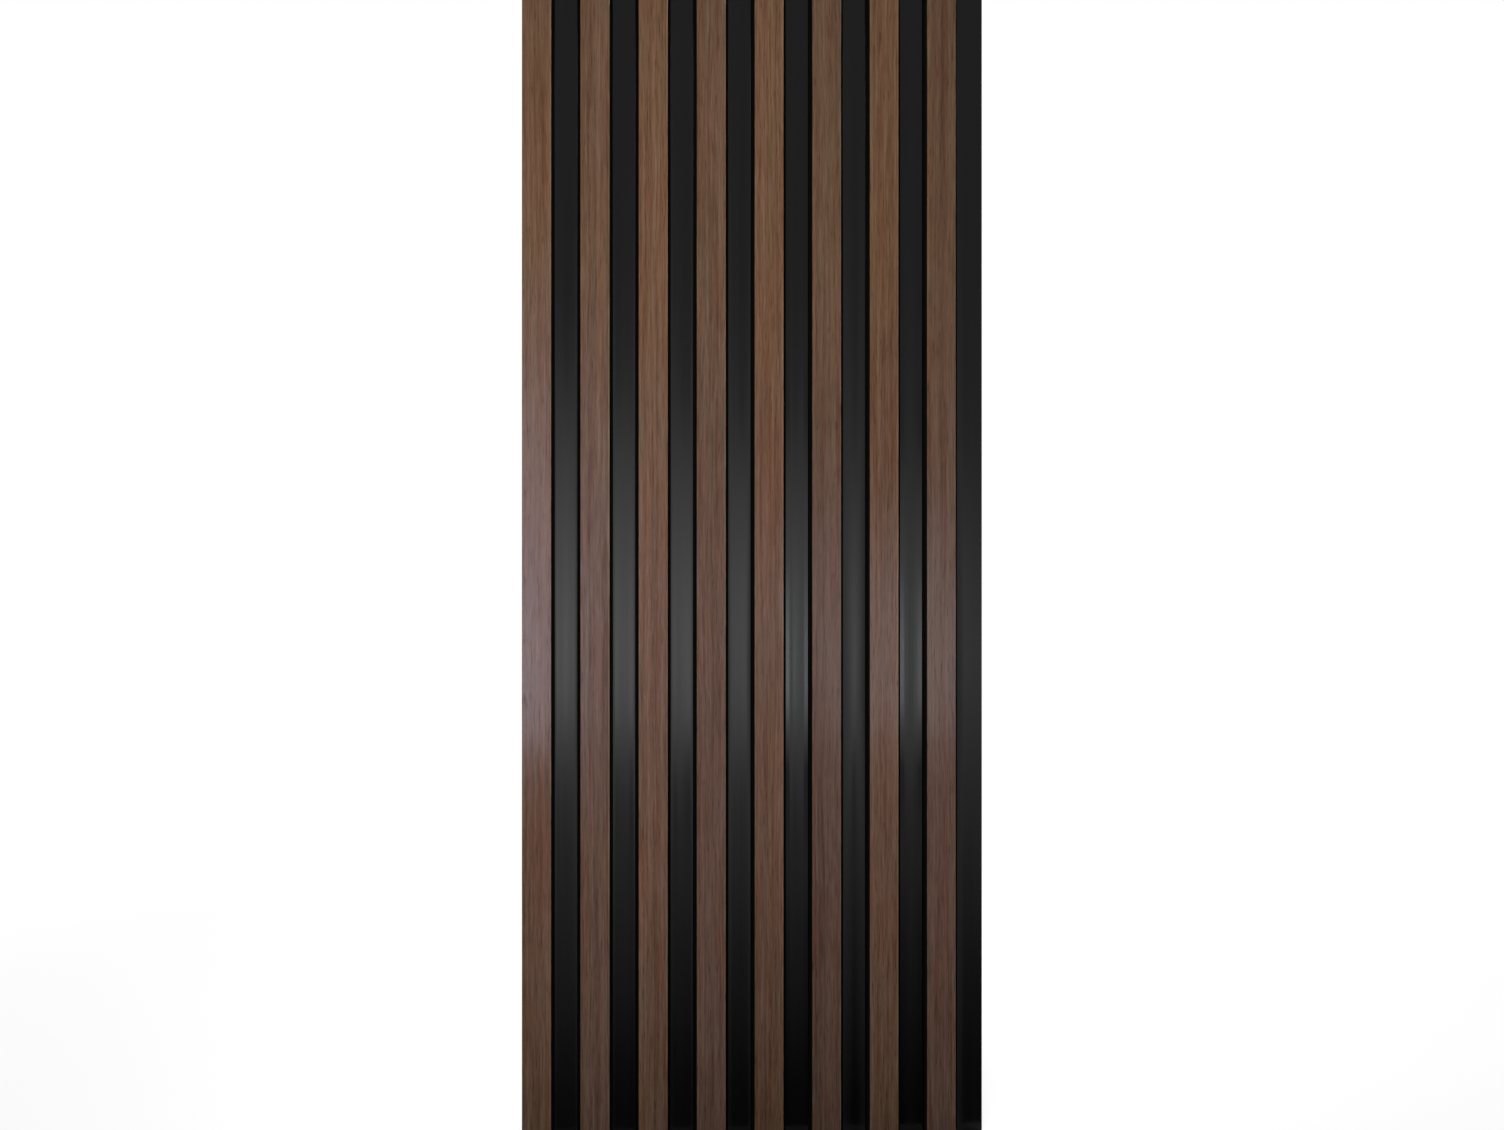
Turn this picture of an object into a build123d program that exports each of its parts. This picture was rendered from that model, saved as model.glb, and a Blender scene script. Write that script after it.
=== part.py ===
"""Slat wall panel: walnut-veneered slats glued side by side into housings of a thin black board.

Sizes are in millimetres. The panel stands as it hangs on a wall: +X runs to the right as seen from
the room, +Y points into the wall and +Z points up. The origin is the centre of the back face.
The pattern begins with a slat at the left edge and ends with an open groove at the right edge, so
that the next panel carries it on.
"""

import os

from build123d import *

# Slat pattern
slat_count = 8
slat_width = 30.0
groove_width = 30.0

# Length of the slats and of the board
panel_height = 1200.0

# Layers, from the wall outwards
board_thickness = 5.0
core_thickness = 11.4
veneer_thickness = 0.6

# Housings: shallow channels in the board, wider than their slats by a shadow gap on each side
housing_depth = 2.0
shadow_gap = 3.0

# Eased long edges of the groove floors and of the veneered faces, which never use up their layer
floor_arris_radius = 0.5
veneer_arris_radius = 0.4
largest_arris_share = 0.8

# Places that follow from the sizes
pitch = slat_width + groove_width
panel_width = slat_count * pitch
housing_width = slat_width + 2 * shadow_gap
bottom_edge = -panel_height / 2
first_slat_centre = (slat_width - panel_width) / 2
slat_centres = [first_slat_centre + index * pitch for index in range(slat_count)]
floor_face = -board_thickness
seat_face = floor_face + housing_depth
core_face = seat_face - core_thickness

os.makedirs("parts", exist_ok=True)

# Backing board: one sheet behind the whole pattern, its back on the wall plane
with BuildPart() as backing_board:
    with BuildSketch(Plane((0, 0, bottom_edge))) as board_section:
        Rectangle(panel_width, board_thickness, align=(Align.CENTER, Align.MAX))
        with Locations([(centre, floor_face) for centre in slat_centres]):
            Rectangle(housing_width, housing_depth, align=(Align.CENTER, Align.MIN), mode=Mode.SUBTRACT)
        floor_corners = board_section.vertices().group_by(Axis.Y)[0]
        fillet(floor_corners, radius=min(floor_arris_radius, largest_arris_share * housing_depth))
    extrude(amount=panel_height)
backing_board.part.label = "backing_board"
export_step(backing_board.part, "parts/backing_board.step")

for number, slat_centre in enumerate(slat_centres, start=1):
    # Core: a lath of rectangular section that stands in its housing
    with BuildPart() as slat_core:
        with BuildSketch(Plane((slat_centre, seat_face, bottom_edge))):
            Rectangle(slat_width, core_thickness, align=(Align.CENTER, Align.MAX))
        extrude(amount=panel_height)
    slat_core.part.label = f"slat_core_{number}"
    export_step(slat_core.part, f"parts/slat_core_{number}.step")

    # Veneer: the wood face on the core, with both long front edges eased
    with BuildPart() as slat_veneer:
        with BuildSketch(Plane((slat_centre, core_face, bottom_edge))) as veneer_section:
            Rectangle(slat_width, veneer_thickness, align=(Align.CENTER, Align.MAX))
            face_corners = veneer_section.vertices().group_by(Axis.Y)[0]
            fillet(face_corners, radius=min(veneer_arris_radius, largest_arris_share * veneer_thickness))
        extrude(amount=panel_height)
    slat_veneer.part.label = f"slat_veneer_{number}"
    export_step(slat_veneer.part, f"parts/slat_veneer_{number}.step")
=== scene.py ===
"""Looks of a slat wall panel: walnut-veneered slats in housings of a black board, in a plain studio."""

import math

import bmesh
import bpy
from mathutils import Matrix, Quaternion, Vector


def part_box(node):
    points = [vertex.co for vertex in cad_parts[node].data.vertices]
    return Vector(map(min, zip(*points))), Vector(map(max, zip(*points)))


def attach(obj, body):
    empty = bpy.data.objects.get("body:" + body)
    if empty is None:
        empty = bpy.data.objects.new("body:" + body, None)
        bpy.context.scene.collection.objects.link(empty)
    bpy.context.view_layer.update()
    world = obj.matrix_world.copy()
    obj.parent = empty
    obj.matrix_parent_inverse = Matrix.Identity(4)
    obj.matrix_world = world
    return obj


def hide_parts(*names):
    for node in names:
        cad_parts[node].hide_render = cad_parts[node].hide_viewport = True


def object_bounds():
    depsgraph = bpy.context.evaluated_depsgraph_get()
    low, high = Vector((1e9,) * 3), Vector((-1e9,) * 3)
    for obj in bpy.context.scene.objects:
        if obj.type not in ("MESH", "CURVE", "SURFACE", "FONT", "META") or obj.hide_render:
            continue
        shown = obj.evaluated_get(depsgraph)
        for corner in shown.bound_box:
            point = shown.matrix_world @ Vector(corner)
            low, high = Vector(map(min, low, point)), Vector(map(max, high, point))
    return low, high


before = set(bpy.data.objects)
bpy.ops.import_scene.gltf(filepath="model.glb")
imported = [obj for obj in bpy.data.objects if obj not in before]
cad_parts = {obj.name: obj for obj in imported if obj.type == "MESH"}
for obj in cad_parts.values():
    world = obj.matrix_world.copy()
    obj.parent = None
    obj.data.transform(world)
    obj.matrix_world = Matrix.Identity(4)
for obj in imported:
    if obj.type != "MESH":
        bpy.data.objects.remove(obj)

bl_info = {
    "name": "Slat Wall Panel",
    "version": (1, 0, 0),
    "blender": (4, 5, 0),
    "location": "View3D > Sidebar > Slat Panel",
    "description": "Dresses a slat wall panel in walnut veneer and satin black lacquer",
    "category": "Object",
}

# What the frame says of the panel, in metres: +X to the right, +Y into the wall, +Z up
BODY = "root"
CAD_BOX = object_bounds()
SLAT_COUNT = sum(name.startswith("slat_veneer_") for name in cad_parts)
SLAT_NUMBERS = range(1, SLAT_COUNT + 1)
FIRST_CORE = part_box("slat_core_1")
SLAT_WIDTH = FIRST_CORE[1].x - FIRST_CORE[0].x
FIRST_CENTRE = FIRST_CORE[0].x + SLAT_WIDTH / 2
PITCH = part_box("slat_core_2")[0].x - FIRST_CORE[0].x
GROOVE_WIDTH = PITCH - SLAT_WIDTH
FACE_PLANE = CAD_BOX[0].y
FLOOR_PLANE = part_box("backing_board")[0].y
SEAT_PLANE = FIRST_CORE[1].y
STAND_LEVEL = CAD_BOX[0].z

# Modelling: facets of an eased edge, and bends in radians that count as straight or as a corner
ARRIS_SEGMENTS = 4
STRAIGHT_BEND = 0.01
CORNER_BEND = 1.0

# How much of a face's unit normal lies along an axis that it faces, and along one that it is square to
FACING = 0.5
SQUARE = 0.999

# Veneer: how far apart the slats' leaves lie in the wood, across and along the grain
LEAF_STEP_ACROSS = 0.37
LEAF_STEP_ALONG = 1.9

# Veneer: height above a slat's middle where each tint of painted light begins, and where it is full
COOL_CAST_RANGE = (0.3, -0.02)
FOOT_REFLECTION_RANGE = (-0.36, -0.56)

# Veneer: pale long edges, partly sanding and partly a painted highlight stronger on the right: where they
# begin, are full, and how much they lighten
SANDING_AND_HIGHLIGHT_RANGE = (0.0016, 0.0006)
SANDING_AND_HIGHLIGHT_LEFT = 0.1
SANDING_AND_HIGHLIGHT_RIGHT = 0.4

# Lacquer: width over which a polished strip ends, and the least roughness that polishing leaves
POLISH_FADE = 0.003
LEAST_ROUGHNESS = 0.05

# The photograph's frame, in pixels, and where the panel stands in it
PHOTO_WIDTH = 1504
PHOTO_HEIGHT = 1130
PANEL_MIDDLE = 754.7
PIXELS_PER_METRE = 963.2

# Studio floor: half its side, the distances between which it fades to white, and its white at the panel
FLOOR_REACH = 30.0
FLOOR_FADE = (0.3, 1.5)
WHITE_NEAR_PANEL = 0.12

# Card that paints shade into the grooves' reflections: its corners, its lift, and the direction and range
# in which it thickens
SHADE_CARD_LOW = (-0.8, -2.2)
SHADE_CARD_HIGH = (1.0, -0.03)
SHADE_CARD_LIFT = 0.001
SHADE_CARD_DIRECTION = (0.8, 1.0, 0.0)
SHADE_CARD_RANGE = (-1.15, 0.0)
SHADE_CARD_COVER = 0.88
SHADE_CARD_BLACK = (0.01, 0.01, 0.01, 1.0)

# Key lamp in front of the panel and rim lamp behind it: places, targets, widths and heights
KEY_PLACE = (-0.16, -0.825, 0.32)
KEY_TARGET = (-0.16, 0.0, 0.32)
KEY_SIZE = (0.5, 1.26)
KEY_ROLL = -0.25
RIM_PLACE = (0.3, 1.3, 2.2)
RIM_TARGET = (0.0, 0.2, STAND_LEVEL)
RIM_SIZE = (2.0, 1.4)

# Plane of the softboxes, far in front of the panel
SHEEN_PLANE = -2.6

# Strip lamps: size, heights, step before the softboxes, inset from a floor's edge, and the far edge's share
GLINT_HALF_WIDTH = 0.007
GLINT_FOOT = -0.45
GLINT_TOP = 0.0
GLINT_SOFT_FOOT = 0.12
GLINT_NEARER = 0.01
GLINT_INSET = 0.001
GLINT_FAR_SHARE = 0.65
GLINT_COLOUR = (0.8, 0.9, 1.0)

WHITE = (1.0, 1.0, 1.0, 1.0)


class SlatPanelFinish(bpy.types.PropertyGroup):
    """Sizes and colours of the panel's own surfaces."""

    shadow_gap: bpy.props.FloatProperty(
        name="Shadow gap", description="How much wider than its slat a housing is, on each side",
        default=0.003, min=0.0005, max=0.01, unit="LENGTH", precision=4)
    veneer_arris: bpy.props.FloatProperty(
        name="Veneer arris", description="Radius of the eased long edges of each slat's face",
        default=0.0004, min=0.0001, max=0.0005, unit="LENGTH", precision=5)
    floor_arris: bpy.props.FloatProperty(
        name="Floor arris", description="Radius of the eased long edges of each groove floor",
        default=0.0005, min=0.0001, max=0.0015, unit="LENGTH", precision=5)
    dull_edge: bpy.props.FloatVectorProperty(
        name="Dull edge", description="Width of the duller strips along each groove floor, from the left",
        default=(0.003, 0.003, 0.003, 0.005, 0.003, 0.012, 0.003, 0.009), min=0.0005, max=0.015,
        size=SLAT_COUNT, unit="LENGTH", precision=4)
    polish_width: bpy.props.FloatProperty(
        name="Polish width", description="Width of the polished strips along some groove floors",
        default=0.0055, min=0.003, max=0.01, unit="LENGTH", precision=4)
    edge_polish: bpy.props.FloatVectorProperty(
        name="Edge polish", description="How polished the edges of each groove floor are, from the left",
        default=(0.0, 0.0, 0.0, 0.0, 1.0, 0.0, 1.0, 0.0), min=0.0, max=1.0, size=SLAT_COUNT)
    walnut_light: bpy.props.FloatVectorProperty(
        name="Walnut light", description="Pale early wood of the veneer",
        default=(0.196, 0.109, 0.062), min=0.0, max=1.0, subtype="COLOR")
    walnut_mid: bpy.props.FloatVectorProperty(
        name="Walnut mid", description="Common tone of the veneer",
        default=(0.130, 0.066, 0.0345), min=0.0, max=1.0, subtype="COLOR")
    walnut_dark: bpy.props.FloatVectorProperty(
        name="Walnut dark", description="Dark late wood of the veneer",
        default=(0.068, 0.030, 0.0140), min=0.0, max=1.0, subtype="COLOR")
    # Painted cool light: a bluish cast over the lower part of the veneer
    walnut_painted_cool_cast: bpy.props.FloatVectorProperty(
        name="Walnut painted cool cast", description="Tint that the veneer takes on below the upper quarter of a slat",
        default=(0.97, 0.99, 1.26), min=0.0, max=2.0, subtype="COLOR")
    # Painted reflection: the veneer made paler and less vivid near the foot of a slat
    walnut_painted_foot_reflection: bpy.props.FloatVectorProperty(
        name="Walnut painted foot reflection", description="Further tint that the veneer takes on near the foot of a slat",
        default=(0.98, 1.08, 1.08), min=0.0, max=2.0, subtype="COLOR")
    slat_tone: bpy.props.FloatVectorProperty(
        name="Slat tone", description="How light each slat's leaf of veneer is, from the left",
        default=(0.96, 0.92, 1.05, 0.9, 1.02, 0.86, 1.02, 0.89), min=0.5, max=1.5, size=SLAT_COUNT)
    lacquer: bpy.props.FloatVectorProperty(
        name="Lacquer", description="Satin black lacquer on the groove floors",
        default=(0.002, 0.002, 0.002), min=0.0, max=1.0, subtype="COLOR")
    paint: bpy.props.FloatVectorProperty(
        name="Paint", description="Matt black paint in the housings",
        default=(0.002, 0.002, 0.002), min=0.0, max=1.0, subtype="COLOR")
    flank_paint: bpy.props.FloatVectorProperty(
        name="Flank paint", description="Matt black paint on the slats' flanks",
        default=(0.007, 0.007, 0.007), min=0.0, max=1.0, subtype="COLOR")
    fibreboard: bpy.props.FloatVectorProperty(
        name="Fibreboard", description="Black-dyed fibreboard of the sawn ends and of the board's back",
        default=(0.03, 0.029, 0.028), min=0.0, max=1.0, subtype="COLOR")


class SlatPanelStage(bpy.types.PropertyGroup):
    """Camera, lamps and floor around the panel."""

    camera_distance: bpy.props.FloatProperty(
        name="Camera distance", description="From the camera to the plane of the slat faces",
        default=1.6, min=0.3, unit="LENGTH")
    camera_offset: bpy.props.FloatProperty(
        name="Camera offset", description="How far left of the panel's middle the camera stands",
        default=0.15, min=0.0, unit="LENGTH")
    camera_turn: bpy.props.FloatProperty(
        name="Camera turn", description="How far the camera is turned from straight ahead to the panel",
        default=math.radians(2.75), min=0.0, max=1.0, subtype="ANGLE")
    cut_off: bpy.props.FloatProperty(
        name="Cut off", description="Length at the panel's foot that the picture's lower edge leaves out",
        default=0.008, min=0.0, unit="LENGTH")
    key_power: bpy.props.FloatProperty(
        name="Key power", description="Power of the tall soft lamp in front of the panel",
        default=7.75, min=0.0, unit="POWER")
    groove_sheen: bpy.props.FloatProperty(
        name="Groove sheen", description="Power of the softbox that the groove floors mirror",
        default=43.0, min=0.0, unit="POWER")
    left_sheen: bpy.props.FloatProperty(
        name="Left sheen", description="Power of the softbox that the slats on the left mirror",
        default=63.0, min=0.0, unit="POWER")
    right_sheen: bpy.props.FloatProperty(
        name="Right sheen", description="Power of the softbox that the slats on the right mirror",
        default=9.0, min=0.0, unit="POWER")
    glint_power: bpy.props.FloatProperty(
        name="Glint power", description="Power of the brighter strip lamp of each polished groove floor",
        default=0.2, min=0.0, unit="POWER")
    rim_power: bpy.props.FloatProperty(
        name="Rim power", description="Power of the lamp above and behind the panel",
        default=115.0, min=0.0, unit="POWER")
    ambient: bpy.props.FloatProperty(
        name="Ambient", description="Strength of the even light from all around",
        default=0.06, min=0.0, max=1.0, subtype="FACTOR")
    floor_colour: bpy.props.FloatVectorProperty(
        name="Floor", description="Pale floor",
        default=(0.85, 0.85, 0.85), min=0.0, max=1.0, subtype="COLOR")


# Shader helpers

def shader_node(tree, kind, inputs=None, **options):
    """Adds a node, sets its options, and links or sets each of its named inputs."""
    node = tree.nodes.new(kind)
    for name, value in options.items():
        setattr(node, name, value)
    for socket, value in (inputs or {}).items():
        if isinstance(value, bpy.types.NodeSocket):
            tree.links.new(value, node.inputs[socket])
        else:
            node.inputs[socket].default_value = value
    return node


def arithmetic(tree, operation, *values, clamp=False):
    """The result of one Math node."""
    inputs = dict(enumerate(values))
    return shader_node(tree, "ShaderNodeMath", inputs, operation=operation, use_clamp=clamp).outputs[0]


def remapped(tree, value, from_low, from_high, to_low=0.0, to_high=1.0):
    """The value moved from one range to another, and held at its ends."""
    inputs = {
        "Value": value,
        "From Min": from_low,
        "From Max": from_high,
        "To Min": to_low,
        "To Max": to_high,
    }
    return shader_node(tree, "ShaderNodeMapRange", inputs).outputs["Result"]


def colour_ramp(tree, value, *colours):
    """Colours spread evenly from 0 to 1, looked up by the value."""
    node = shader_node(tree, "ShaderNodeValToRGB", {"Fac": value})
    elements = node.color_ramp.elements
    while len(elements) < len(colours):
        elements.new(0.5)
    for index, colour in enumerate(colours):
        elements[index].position = index / (len(colours) - 1)
        elements[index].color = (*colour, 1.0)
    return node.outputs["Color"]


def tinted(tree, colour, factor):
    """The colour made lighter or darker by the factor."""
    inputs = {0: colour, "Scale": factor}
    return shader_node(tree, "ShaderNodeVectorMath", inputs, operation="SCALE").outputs["Vector"]


def socket_called(sockets, identifier):
    """The socket with this identifier, for a node that has several sockets of one name."""
    return next(socket for socket in sockets if socket.identifier == identifier)


def multiplied(tree, colour, tint, share):
    """The colour with a share of a tint multiplied in."""
    node = shader_node(tree, "ShaderNodeMix", data_type="RGBA", blend_type="MULTIPLY")
    tree.links.new(share, node.inputs["Factor"])
    tree.links.new(colour, socket_called(node.inputs, "A_Color"))
    socket_called(node.inputs, "B_Color").default_value = (*tint, 1.0)
    return socket_called(node.outputs, "Result_Color")


def patches(tree, place, across, along, detail=2.0, roughness=0.5):
    """Noise from 0 to 1 whose patches are about as wide across and as long along Z as given, in metres."""
    inputs = {"Vector": place, "Scale": (1 / across, 1 / across, 1 / along)}
    stretched = shader_node(tree, "ShaderNodeMapping", inputs).outputs["Vector"]
    inputs = {"Vector": stretched, "Scale": 1.0, "Detail": detail, "Roughness": roughness}
    return shader_node(tree, "ShaderNodeTexNoise", inputs).outputs["Fac"]


def weighted_sum(tree, base, *parts):
    """The base value plus each noise, counted from its middle, times its weight."""
    total = base
    for noise, weight in parts:
        from_middle = arithmetic(tree, "SUBTRACT", noise, 0.5)
        total = arithmetic(tree, "MULTIPLY_ADD", from_middle, weight, total)
    return total


def by_groove(tree, groove, values):
    """The one of the values that belongs to a groove, which is counted from 0 at the left."""
    tolerance = 0.1
    total = 0.0
    for index, value in enumerate(values):
        here = arithmetic(tree, "COMPARE", groove, index, tolerance)
        total = arithmetic(tree, "MULTIPLY_ADD", here, value, total)
    return total


def new_material(name, specular, shift=(0.0, 0.0, 0.0)):
    """A material with its node tree, its shader, and object coordinates moved by shift."""
    material = bpy.data.materials.new(name)
    material.use_nodes = True
    tree = material.node_tree
    shader = tree.nodes["Principled BSDF"]
    shader.inputs["Specular IOR Level"].default_value = specular
    coordinates = shader_node(tree, "ShaderNodeTexCoord").outputs["Object"]
    place = shader_node(tree, "ShaderNodeMapping", {"Vector": coordinates, "Location": shift})
    return material, tree, shader, place.outputs["Vector"]


def finish_surface(tree, shader, colour, roughness, height, depth):
    """Joins a surface's colour, roughness and relief, depth metres deep, to its shader."""
    relief = shader_node(tree, "ShaderNodeBump", {"Height": height, "Strength": 1.0, "Distance": depth})
    tree.links.new(colour, shader.inputs["Base Color"])
    tree.links.new(roughness, shader.inputs["Roughness"])
    tree.links.new(relief.outputs["Normal"], shader.inputs["Normal"])


# Finishes

def walnut_veneer(number, finish):
    """Walnut veneer of one slat: grain along Z, with bands, fibres, pores and a slow drift of hue."""
    slat_centre = FIRST_CENTRE + (number - 1) * PITCH
    leaf_centre = LEAF_STEP_ACROSS * number
    leaf_middle = LEAF_STEP_ALONG * number
    shift = (leaf_centre - slat_centre, 0.0, leaf_middle)
    material, tree, shader, place = new_material(f"walnut_veneer_{number}", specular=0.12, shift=shift)

    # The grain wanders sideways along the leaf
    drift = patches(tree, place, across=0.5, along=0.30)
    ripple = patches(tree, place, across=0.03, along=0.07)
    sideways = weighted_sum(tree, 0.0, (drift, 0.008), (ripple, 0.0008))
    offset = shader_node(tree, "ShaderNodeCombineXYZ", {"X": sideways}).outputs["Vector"]
    wandering = shader_node(tree, "ShaderNodeVectorMath", {0: place, 1: offset}, operation="ADD")
    grain = wandering.outputs["Vector"]

    # Light and dark wood
    bands = patches(tree, grain, across=0.0055, along=0.9, detail=3.0)
    lines = patches(tree, grain, across=0.0025, along=0.2, detail=1.0)
    fibres = patches(tree, grain, across=0.0014, along=0.03, detail=3.0, roughness=0.6)
    cloud = patches(tree, grain, across=0.03, along=0.16)
    dashes = patches(tree, grain, across=0.0009, along=0.017, detail=1.0)
    pores = remapped(tree, dashes, 0.60, 0.78)
    tone = weighted_sum(tree, 0.55, (bands, 0.9), (lines, 0.8), (fibres, 1.15), (cloud, 0.3))
    tone = arithmetic(tree, "SUBTRACT", tone, arithmetic(tree, "MULTIPLY", pores, 0.5))
    colour = colour_ramp(tree, tone, finish.walnut_dark, finish.walnut_mid, finish.walnut_light)

    # Warmer and cooler streaks, on leaves that are more and less vivid by turns
    warmth = patches(tree, grain, across=0.007, along=0.14, detail=2.0)
    hue = remapped(tree, warmth, 0.3, 0.7, 0.506, 0.494)
    vividness = 1.03 if number % 2 else 0.98
    saturation = remapped(tree, warmth, 0.3, 0.7, vividness - 0.07, vividness + 0.07)
    inputs = {"Color": colour, "Hue": hue, "Saturation": saturation}
    colour = shader_node(tree, "ShaderNodeHueSaturation", inputs).outputs["Color"]

    # Tints that change along the slat, both painted light: a bluish cast lower down, and a paler painted
    # reflection near the foot
    local = shader_node(tree, "ShaderNodeSeparateXYZ", {"Vector": place}).outputs
    along_slat = arithmetic(tree, "SUBTRACT", local["Z"], leaf_middle)
    colour = multiplied(tree, colour, finish.walnut_painted_cool_cast, remapped(tree, along_slat, *COOL_CAST_RANGE))
    colour = multiplied(tree, colour, finish.walnut_painted_foot_reflection, remapped(tree, along_slat, *FOOT_REFLECTION_RANGE))

    # Long edges made paler, partly by sanding and partly by a painted highlight that is stronger on the
    # right edge
    across_slat = arithmetic(tree, "SUBTRACT", local["X"], leaf_centre)
    from_left = arithmetic(tree, "ADD", across_slat, SLAT_WIDTH / 2)
    from_right = arithmetic(tree, "SUBTRACT", SLAT_WIDTH / 2, across_slat)
    left_edge = remapped(tree, from_left, *SANDING_AND_HIGHLIGHT_RANGE)
    right_edge = remapped(tree, from_right, *SANDING_AND_HIGHLIGHT_RANGE)
    lightness = arithmetic(tree, "MULTIPLY_ADD", left_edge, SANDING_AND_HIGHLIGHT_LEFT, finish.slat_tone[number - 1])
    lightness = arithmetic(tree, "MULTIPLY_ADD", right_edge, SANDING_AND_HIGHLIGHT_RIGHT, lightness)
    colour = tinted(tree, colour, lightness)

    roughness = weighted_sum(tree, 0.18, (fibres, 0.15), (pores, 0.1))
    height = weighted_sum(tree, 0.0, (fibres, 0.5), (pores, -0.6))
    finish_surface(tree, shader, colour, roughness, height, depth=0.00006)
    return material


def satin_black_lacquer(finish):
    """Sprayed satin black: orange peel over slow waves, with dull or polished strips along the edges."""
    material, tree, shader, place = new_material("satin_black_lacquer", specular=0.144)
    peel = patches(tree, place, across=0.0018, along=0.0018, detail=1.0)
    waves = patches(tree, place, across=0.04, along=0.5, detail=1.0)
    streaks = patches(tree, place, across=0.009, along=1.2, detail=2.0)
    dust = patches(tree, place, across=0.006, along=0.09, detail=3.0)
    colour = tinted(tree, finish.lacquer, weighted_sum(tree, 1.0, (dust, 0.4), (streaks, 0.3)))

    # Which groove this is, and how far it is to the edge of its floor
    local = shader_node(tree, "ShaderNodeSeparateXYZ", {"Vector": place}).outputs
    from_first_slat = arithmetic(tree, "SUBTRACT", local["X"], FIRST_CENTRE)
    groove = arithmetic(tree, "FLOOR", arithmetic(tree, "DIVIDE", from_first_slat, PITCH))
    from_slat = arithmetic(tree, "PINGPONG", from_first_slat, PITCH / 2)
    from_edge = arithmetic(tree, "SUBTRACT", from_slat, SLAT_WIDTH / 2 + finish.shadow_gap)

    # Strips along the edges: the panel's open right edge has no slat beside it, and so no dull strip
    beside_slat = arithmetic(tree, "LESS_THAN", local["X"], CAD_BOX[1].x - GROOVE_WIDTH / 2)
    polish = by_groove(tree, groove, finish.edge_polish)
    dull = remapped(tree, from_edge, 0.0, by_groove(tree, groove, finish.dull_edge), beside_slat, 0.0)
    dull = arithmetic(tree, "MULTIPLY", dull, arithmetic(tree, "SUBTRACT", 1.0, polish))
    bright = remapped(tree, from_edge, finish.polish_width - POLISH_FADE, finish.polish_width, polish, 0.0)

    roughness = weighted_sum(tree, 0.18, (dust, 0.06), (streaks, 0.25), (waves, 0.2))
    roughness = arithmetic(tree, "MULTIPLY_ADD", dull, 0.2, roughness)
    roughness = arithmetic(tree, "MULTIPLY_ADD", bright, -0.3, roughness)
    roughness = arithmetic(tree, "MAXIMUM", roughness, LEAST_ROUGHNESS)
    height = weighted_sum(tree, 0.0, (peel, 0.006), (waves, 0.05))
    finish_surface(tree, shader, colour, roughness, height, depth=0.001)
    return material


def matt_black_paint(name, paint):
    """Thin matt black paint, with the fibres below showing through it."""
    material, tree, shader, place = new_material(name, specular=0.03)
    nap = patches(tree, place, across=0.0012, along=0.02, detail=3.0, roughness=0.6)
    mottle = patches(tree, place, across=0.02, along=0.06)
    colour = tinted(tree, paint, weighted_sum(tree, 1.0, (nap, 1.2), (mottle, 0.8)))
    roughness = weighted_sum(tree, 0.7, (nap, 0.3))
    finish_surface(tree, shader, colour, roughness, nap, depth=0.0001)
    return material


def dyed_fibreboard(finish):
    """Black-dyed fibreboard: pressed fibres that lie every way, with paler flakes."""
    material, tree, shader, place = new_material("dyed_fibreboard", specular=0.15)
    flakes = patches(tree, place, across=0.0016, along=0.0016, detail=4.0, roughness=0.65)
    felting = patches(tree, place, across=0.012, along=0.012, detail=3.0)
    mottle = patches(tree, place, across=0.15, along=0.15)
    tone = weighted_sum(tree, 1.0, (flakes, 1.6), (felting, 0.8), (mottle, 0.5))
    colour = tinted(tree, finish.fibreboard, tone)
    roughness = weighted_sum(tree, 0.75, (flakes, 0.2))
    finish_surface(tree, shader, colour, roughness, flakes, depth=0.00012)
    return material


# Modelling helpers

def section(low, high):
    """One level face between two corners, at the height of the lower one."""
    bm = bmesh.new()
    middle = (low + high) / 2
    size = high - low
    place = Matrix.Translation((middle.x, middle.y, low.z)) @ Matrix.Diagonal((size.x, size.y, 1.0, 1.0))
    bmesh.ops.create_grid(bm, x_segments=1, y_segments=1, size=0.5, matrix=place)
    return bm


def cut_across(bm, point, normal):
    """Divides a section along a plane."""
    geometry = bm.verts[:] + bm.edges[:] + bm.faces[:]
    bmesh.ops.bisect_plane(bm, geom=geometry, plane_co=point, plane_no=normal)


def ease_corners(bm, radius, depth):
    """Rounds the square corners of a section that lie no deeper than depth behind its front."""
    front = min(vertex.co.y for vertex in bm.verts)
    near_front = [vertex for vertex in bm.verts if vertex.co.y < front + depth]
    corners = [vertex for vertex in near_front if vertex.calc_edge_angle() > CORNER_BEND]
    bmesh.ops.bevel(bm, geom=corners, offset=radius, offset_type="OFFSET", segments=ARRIS_SEGMENTS,
                    profile=0.5, affect="VERTICES", material=-1)


def raise_section(bm, height):
    """Extrudes a section upwards into a closed solid, and shades its rounded edges smooth."""
    made = bmesh.ops.extrude_face_region(bm, geom=bm.faces[:])
    top = [item for item in made["geom"] if isinstance(item, bmesh.types.BMVert)]
    bmesh.ops.translate(bm, verts=top, vec=(0.0, 0.0, height))
    bmesh.ops.recalc_face_normals(bm, faces=bm.faces[:])
    for face in bm.faces:
        face.smooth = max(abs(part) for part in face.normal) < SQUARE


def add_object(name, bm, materials):
    """Turns a bmesh into an object with these materials."""
    mesh = bpy.data.meshes.new(name)
    bm.to_mesh(mesh)
    bm.free()
    for material in materials:
        mesh.materials.append(material)
    made = bpy.data.objects.new(name, mesh)
    bpy.context.scene.collection.objects.link(made)
    return made


def add_piece(name, bm, materials, node):
    """Turns a bmesh into a piece that stands for a CAD node and rides with the panel."""
    piece = add_object(name, bm, materials)
    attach(piece, BODY)
    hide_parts(node)


# Pieces

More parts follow.
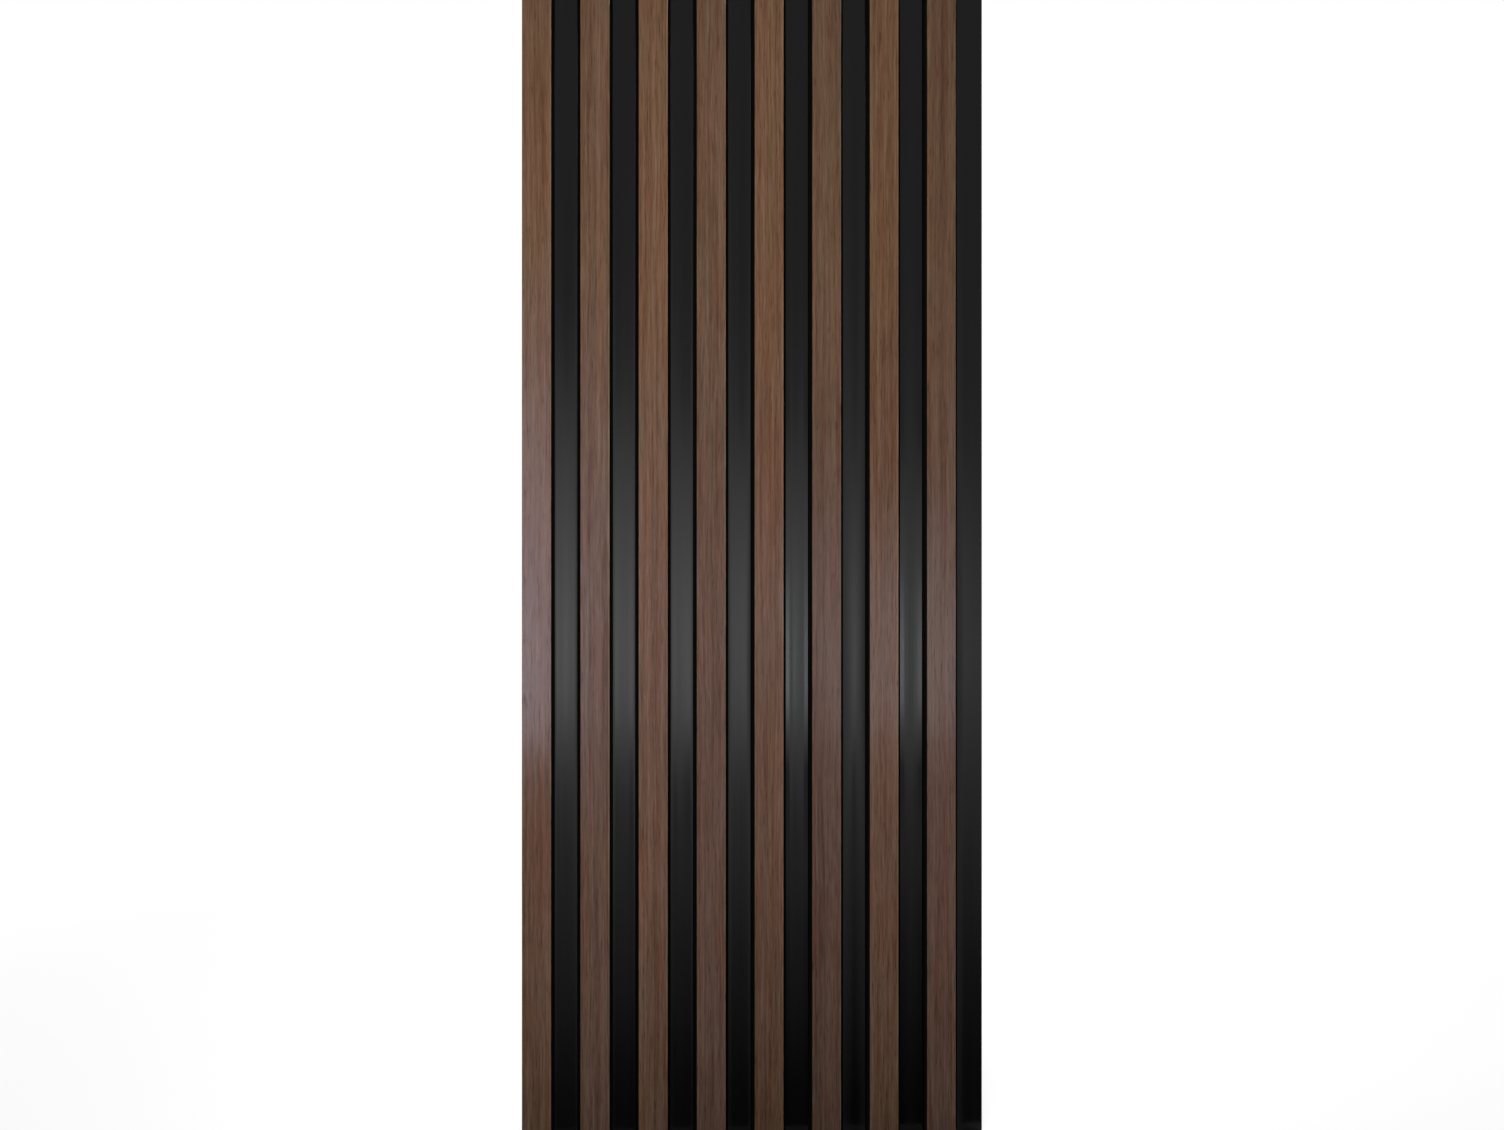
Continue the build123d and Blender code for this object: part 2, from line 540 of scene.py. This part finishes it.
class SLATPANEL_OT_backing_board(bpy.types.Operator):
    """Make the black board, with a housing for each slat."""

    bl_idname = "slat_panel.backing_board"
    bl_label = "Backing Board"

    def execute(self, context):
        finish = context.scene.slat_panel_finish
        low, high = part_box("backing_board")
        bm = section(low, high)
        housings = []
        for number in SLAT_NUMBERS:
            core_low, core_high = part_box(f"slat_core_{number}")
            housings.append((core_low.x - finish.shadow_gap, core_high.x + finish.shadow_gap))
        for wall in sum(housings, ()):
            cut_across(bm, (wall, 0.0, 0.0), (1.0, 0.0, 0.0))
        cut_across(bm, (0.0, SEAT_PLANE, 0.0), (0.0, 1.0, 0.0))
        hollow = []
        for face in bm.faces:
            middle = face.calc_center_median()
            if middle.y < SEAT_PLANE and any(left < middle.x < right for left, right in housings):
                hollow.append(face)
        bmesh.ops.delete(bm, geom=hollow, context="FACES")
        bmesh.ops.dissolve_limit(bm, angle_limit=STRAIGHT_BEND, verts=bm.verts[:], edges=bm.edges[:])
        ease_corners(bm, finish.floor_arris, depth=finish.floor_arris)
        raise_section(bm, high.z - low.z)

        lacquer, paint, fibreboard = range(3)
        for face in bm.faces:
            middle = face.calc_center_median()
            inner = low.x < middle.x - finish.floor_arris and middle.x + finish.floor_arris < high.x
            if abs(face.normal.z) > FACING or face.normal.y > FACING or not inner:
                face.material_index = fibreboard
            elif middle.y < FLOOR_PLANE + finish.floor_arris:
                face.material_index = lacquer
            else:
                face.material_index = paint
        housing_paint = matt_black_paint("housing_paint", finish.paint)
        materials = [satin_black_lacquer(finish), housing_paint, dyed_fibreboard(finish)]
        add_piece("board", bm, materials, "backing_board")
        return {"FINISHED"}


class SLATPANEL_OT_slat_cores(bpy.types.Operator):
    """Make the lath at the heart of each slat, with painted flanks and sawn ends."""

    bl_idname = "slat_panel.slat_cores"
    bl_label = "Slat Cores"

    def execute(self, context):
        finish = context.scene.slat_panel_finish
        materials = [matt_black_paint("flank_paint", finish.flank_paint), dyed_fibreboard(finish)]
        paint, fibreboard = range(2)
        for number in SLAT_NUMBERS:
            node = f"slat_core_{number}"
            low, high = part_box(node)
            bm = section(low, high)
            raise_section(bm, high.z - low.z)
            for face in bm.faces:
                face.material_index = fibreboard if abs(face.normal.z) > FACING else paint
            add_piece(f"core_{number}", bm, materials, node)
        return {"FINISHED"}


class SLATPANEL_OT_slat_veneers(bpy.types.Operator):
    """Make the walnut face of each slat, with its long edges eased."""

    bl_idname = "slat_panel.slat_veneers"
    bl_label = "Slat Veneers"

    def execute(self, context):
        finish = context.scene.slat_panel_finish
        for number in SLAT_NUMBERS:
            node = f"slat_veneer_{number}"
            low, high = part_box(node)
            bm = section(low, high)
            ease_corners(bm, finish.veneer_arris, depth=finish.veneer_arris)
            raise_section(bm, high.z - low.z)
            add_piece(f"veneer_{number}", bm, [walnut_veneer(number, finish)], node)
        return {"FINISHED"}


# Stage

def seen_directly(tree):
    """1 for rays that show the background itself: from the camera, a mirror or glass."""
    path = shader_node(tree, "ShaderNodeLightPath").outputs
    direct = arithmetic(tree, "ADD", path["Is Camera Ray"], path["Is Glossy Ray"], clamp=True)
    return arithmetic(tree, "ADD", direct, path["Is Transmission Ray"], clamp=True)


def white_world(strength):
    """A world that looks white and lights the panel evenly at the given strength."""
    world = bpy.data.worlds.new("studio_white")
    bpy.context.scene.world = world
    world.use_nodes = True
    tree = world.node_tree
    tree.nodes.clear()
    level = remapped(tree, seen_directly(tree), 0.0, 1.0, strength, 1.0)
    background = shader_node(tree, "ShaderNodeBackground", {"Color": WHITE, "Strength": level})
    shader_node(tree, "ShaderNodeOutputWorld", {"Surface": background.outputs["Background"]})


def stage_material(name):
    """A material with an empty node tree, and its object coordinates."""
    material = bpy.data.materials.new(name)
    material.use_nodes = True
    tree = material.node_tree
    tree.nodes.clear()
    return material, tree, shader_node(tree, "ShaderNodeTexCoord").outputs["Object"]


def show_mix(tree, share, first, second):
    """Shows the first shader where the share is 0, and the second where it is 1."""
    inputs = {0: share, 1: first.outputs[0], 2: second.outputs[0]}
    mixed = shader_node(tree, "ShaderNodeMixShader", inputs)
    shader_node(tree, "ShaderNodeOutputMaterial", {"Surface": mixed.outputs[0]})


def pale_floor(colour):
    """A floor that keeps the panel's soft shadow, and fades to the white background further off."""
    material, tree, place = stage_material("pale_floor")
    inputs = {"Vector": place, "Location": (0.0, 0.0, -STAND_LEVEL)}
    around = shader_node(tree, "ShaderNodeMapping", inputs)
    distance = shader_node(tree, "ShaderNodeVectorMath", {0: around.outputs["Vector"]}, operation="LENGTH")
    white = remapped(tree, distance.outputs["Value"], *FLOOR_FADE, WHITE_NEAR_PANEL, 1.0)
    share = arithmetic(tree, "MULTIPLY", seen_directly(tree), white)
    paint = shader_node(tree, "ShaderNodeBsdfDiffuse", {"Color": (*colour, 1.0)})
    glow = shader_node(tree, "ShaderNodeEmission", {"Color": WHITE, "Strength": 1.0})
    show_mix(tree, share, paint, glow)
    low = Vector((-FLOOR_REACH, -FLOOR_REACH, STAND_LEVEL))
    high = Vector((FLOOR_REACH, FLOOR_REACH, STAND_LEVEL))
    floor = add_object("studio_floor", section(low, high), [material])


def shade_reflection_card():
    """A black card on the floor before the panel that paints shade into the mirror images low in the
    grooves; only mirrors show it.
    """
    material, tree, place = stage_material("painted_shade_reflection")
    inputs = {0: place, 1: SHADE_CARD_DIRECTION}
    askew = shader_node(tree, "ShaderNodeVectorMath", inputs, operation="DOT_PRODUCT")
    cover = remapped(tree, askew.outputs["Value"], *SHADE_CARD_RANGE, 0.0, SHADE_CARD_COVER)
    clear = shader_node(tree, "ShaderNodeBsdfTransparent")
    black = shader_node(tree, "ShaderNodeBsdfDiffuse", {"Color": SHADE_CARD_BLACK})
    show_mix(tree, cover, clear, black)
    level = STAND_LEVEL + SHADE_CARD_LIFT
    bm = section(Vector((*SHADE_CARD_LOW, level)), Vector((*SHADE_CARD_HIGH, level)))
    card = add_object("shade_reflection_card", bm, [material])
    card.visible_camera = False
    card.visible_diffuse = False
    card.visible_shadow = False


def soft_lamp(name, place, target, size, power, roll=0.0):
    """A rectangular lamp that faces its target, rolled about that line, and isn't seen itself."""
    light = bpy.data.lights.new(name, "AREA")
    light.shape = "RECTANGLE"
    light.size, light.size_y = size
    light.energy = power
    lamp = bpy.data.objects.new(name, light)
    lamp.location = place
    facing = (Vector(target) - Vector(place)).to_track_quat("-Z", "Y")
    lamp.rotation_euler = (facing @ Quaternion((0.0, 0.0, 1.0), roll)).to_euler()
    lamp.visible_camera = False
    bpy.context.scene.collection.objects.link(lamp)
    return lamp


def sheen_box(name, left, right, foot, top, power, pieces, colour, nearer=0.0, soft_foot=0.001,
              dim_right=1.0, dim_top=1.0, lean=0.0, even=0.0):
    """A softbox far in front of the panel that only some pieces mirror.

    It brightens over the soft_foot metres above its foot, stays even over the share of its height that
    even gives, and fades from there to dim_top at its top. It also fades from its left to dim_right at
    its right, and a lean makes the upper fade quicker on the right.
    """
    width = right - left
    height = top - foot
    middle_x = (left + right) / 2
    middle_z = (foot + top) / 2
    place = (middle_x, SHEEN_PLANE + nearer, middle_z)
    lamp = soft_lamp(name, place, (middle_x, 0.0, middle_z), (width, height), power)
    lamp.visible_diffuse = False
    lit = bpy.data.collections.new(f"lit_by_{name}")
    for piece in pieces:
        lit.objects.link(piece)
    lamp.light_linking.receiver_collection = lit

    light = lamp.data
    light.color = colour
    light.use_nodes = True
    tree = light.node_tree
    coordinates = shader_node(tree, "ShaderNodeTexCoord").outputs["Object"]
    local = shader_node(tree, "ShaderNodeSeparateXYZ", {"Vector": coordinates}).outputs
    rightwards = remapped(tree, local["X"], -width / 2, width / 2)
    upwards = remapped(tree, local["Y"], (even - 0.5) * height, height / 2)
    leaning = arithmetic(tree, "MULTIPLY_ADD", rightwards, lean, 1.0)
    side_fade = remapped(tree, rightwards, 0.0, 1.0, 1.0, dim_right)
    top_fade = remapped(tree, arithmetic(tree, "MULTIPLY", upwards, leaning), 0.0, 1.0, 1.0, dim_top)
    foot_fade = remapped(tree, local["Y"], -height / 2, soft_foot - height / 2)
    level = arithmetic(tree, "MULTIPLY", arithmetic(tree, "MULTIPLY", side_fade, top_fade), foot_fade)
    tree.links.new(level, tree.nodes["Emission"].inputs["Strength"])


def mirrored_place(x, stage):
    """Where on the softboxes' plane the camera looks by way of the point at x on a groove floor."""
    from_camera = FLOOR_PLANE - FACE_PLANE + stage.camera_distance
    slope = (x + stage.camera_offset) / from_camera
    return x + slope * (FLOOR_PLANE - SHEEN_PLANE)


def floor_glints(finish, stage, pieces):
    """Strip lamps that the polished edges of some groove floors mirror as bright lines."""
    for number, polish in zip(SLAT_NUMBERS, finish.edge_polish):
        if polish == 0.0:
            continue
        near_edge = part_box(f"slat_core_{number}")[1].x + finish.shadow_gap
        far_edge = near_edge + GROOVE_WIDTH - 2 * finish.shadow_gap
        near_line = ("near", near_edge + GLINT_INSET, 1.0)
        far_line = ("far", far_edge - GLINT_INSET, GLINT_FAR_SHARE)
        for side, line, share in (near_line, far_line):
            middle = mirrored_place(line, stage)
            sheen_box(
                f"glint_{number}_{side}", left=middle - GLINT_HALF_WIDTH, right=middle + GLINT_HALF_WIDTH,
                foot=GLINT_FOOT, top=GLINT_TOP, power=stage.glint_power * share, pieces=pieces,
                colour=GLINT_COLOUR, nearer=GLINT_NEARER, soft_foot=GLINT_SOFT_FOOT, dim_top=0.0, even=0.5)


def photo_camera(distance, offset, turn, cut_off):
    """A level camera left of the panel's middle, turned a little to it and framed as the photograph is."""
    middle_z = STAND_LEVEL + cut_off + PHOTO_HEIGHT / 2 / PIXELS_PER_METRE
    place = Vector((-offset, FACE_PLANE - distance, middle_z))
    ahead = Vector((math.sin(turn), math.cos(turn), 0.0))
    aside = Vector((math.cos(turn), -math.sin(turn), 0.0))
    to_panel = Vector((offset, distance, 0.0))
    depth = to_panel.dot(ahead)
    focal_pixels = PIXELS_PER_METRE * depth ** 2 / distance
    panel_pixels = focal_pixels * to_panel.dot(aside) / depth
    data = bpy.data.cameras.new("photo_camera")
    data.lens = data.sensor_width * focal_pixels / PHOTO_WIDTH
    data.shift_x = (panel_pixels + PHOTO_WIDTH / 2 - PANEL_MIDDLE) / PHOTO_WIDTH
    camera = bpy.data.objects.new("photo_camera", data)
    camera.location = place
    camera.rotation_euler = ahead.to_track_quat("-Z", "Y").to_euler()
    bpy.context.scene.collection.objects.link(camera)
    bpy.context.scene.camera = camera


class SLATPANEL_OT_stage(bpy.types.Operator):
    """Set up the floor, the white world, the lamps and the camera."""

    bl_idname = "slat_panel.stage"
    bl_label = "Studio Stage"

    def execute(self, context):
        stage = context.scene.slat_panel_stage
        context.scene.view_settings.view_transform = "Standard"
        white_world(stage.ambient)
        pale_floor(stage.floor_colour)
        # Black card that paints shade into the reflections low in the grooves
        shade_reflection_card()
        key = soft_lamp("key_lamp", KEY_PLACE, KEY_TARGET, KEY_SIZE, stage.key_power, roll=KEY_ROLL)
        key.visible_glossy = False
        soft_lamp("rim_lamp", RIM_PLACE, RIM_TARGET, RIM_SIZE, stage.rim_power)
        board = [bpy.data.objects["board"]]
        veneers = [bpy.data.objects[f"veneer_{number}"] for number in SLAT_NUMBERS]
        sheen_box(
            "groove_sheen", left=-0.66, right=0.86, foot=-0.56, top=0.66, power=stage.groove_sheen,
            pieces=board, colour=(1.0, 1.0, 1.0), soft_foot=0.18, dim_right=0.42, dim_top=0.04, lean=0.6,
            even=0.296)
        sheen_box(
            "left_sheen", left=-1.28, right=-0.28, foot=-0.49, top=0.82, power=stage.left_sheen,
            pieces=veneers, colour=(0.82, 0.80, 1.0), dim_top=0.04, even=0.26)
        sheen_box(
            "right_sheen", left=0.40, right=1.25, foot=-0.47, top=0.20, power=stage.right_sheen,
            pieces=veneers, colour=(0.9, 0.9, 1.0), dim_top=0.2, even=0.4)
        floor_glints(context.scene.slat_panel_finish, stage, board)
        photo_camera(stage.camera_distance, stage.camera_offset, stage.camera_turn, stage.cut_off)
        return {"FINISHED"}


class SLATPANEL_PT_sidebar(bpy.types.Panel):
    """Sizes, colours and steps of the slat wall panel."""

    bl_label = "Slat Wall Panel"
    bl_space_type = "VIEW_3D"
    bl_region_type = "UI"
    bl_category = "Slat Panel"

    def draw(self, context):
        layout = self.layout
        for group in (context.scene.slat_panel_finish, context.scene.slat_panel_stage):
            box = layout.box()
            for name in group.__annotations__:
                box.prop(group, name)
        for operator in STEPS:
            layout.operator(operator.bl_idname)


STEPS = (SLATPANEL_OT_backing_board, SLATPANEL_OT_slat_cores, SLATPANEL_OT_slat_veneers, SLATPANEL_OT_stage)
CLASSES = (SlatPanelFinish, SlatPanelStage, *STEPS, SLATPANEL_PT_sidebar)


def register():
    for cls in CLASSES:
        bpy.utils.register_class(cls)
    bpy.types.Scene.slat_panel_finish = bpy.props.PointerProperty(type=SlatPanelFinish)
    bpy.types.Scene.slat_panel_stage = bpy.props.PointerProperty(type=SlatPanelStage)


def unregister():
    del bpy.types.Scene.slat_panel_stage
    del bpy.types.Scene.slat_panel_finish
    for cls in reversed(CLASSES):
        bpy.utils.unregister_class(cls)


def main():
    register()
    bpy.ops.slat_panel.backing_board()
    bpy.ops.slat_panel.slat_cores()
    bpy.ops.slat_panel.slat_veneers()
    bpy.ops.slat_panel.stage()


if __name__ == "__main__":
    main()
